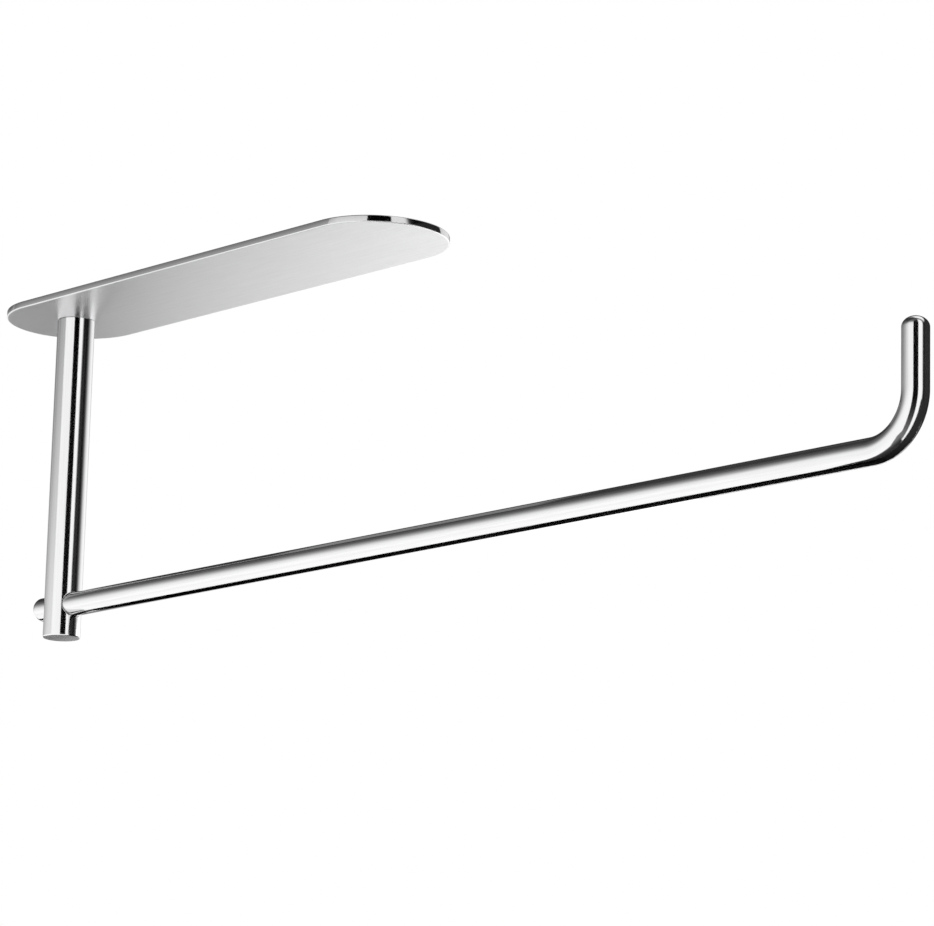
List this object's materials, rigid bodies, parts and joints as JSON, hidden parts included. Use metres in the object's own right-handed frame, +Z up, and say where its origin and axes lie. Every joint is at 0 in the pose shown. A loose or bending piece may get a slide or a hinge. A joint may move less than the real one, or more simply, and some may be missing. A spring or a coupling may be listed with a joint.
{
  "type": "under-cabinet paper towel holder",
  "caption": "Oblong plate that sticks under a cabinet, with a hanging post and a long bent arm that the paper towel roll slides onto.",
  "frame": {"origin": "centre of the mounting tape's upper face, where the holder meets the cabinet", "axes": "+Z up into the cabinet, +X along the plate towards the raised end of the arm, +Y across the plate"},
  "size_m": [0.3473, 0.041, 0.0986],
  "materials": {
    "brushed_plate": "brushed along the plate",
    "foam_tape": "matte acrylic foam",
    "satin_bar": "satin",
    "fasteners": "plain stainless",
    "polished_bar": "polished"
  },
  "bodies": {
    "root": {"mounting_plate": "brushed_plate", "mounting_tape": "foam_tape", "post": "satin_bar", "post_screw": "fasteners", "arm": "polished_bar", "arm_grub_screw": "fasteners"}
  },
  "joints": []
}
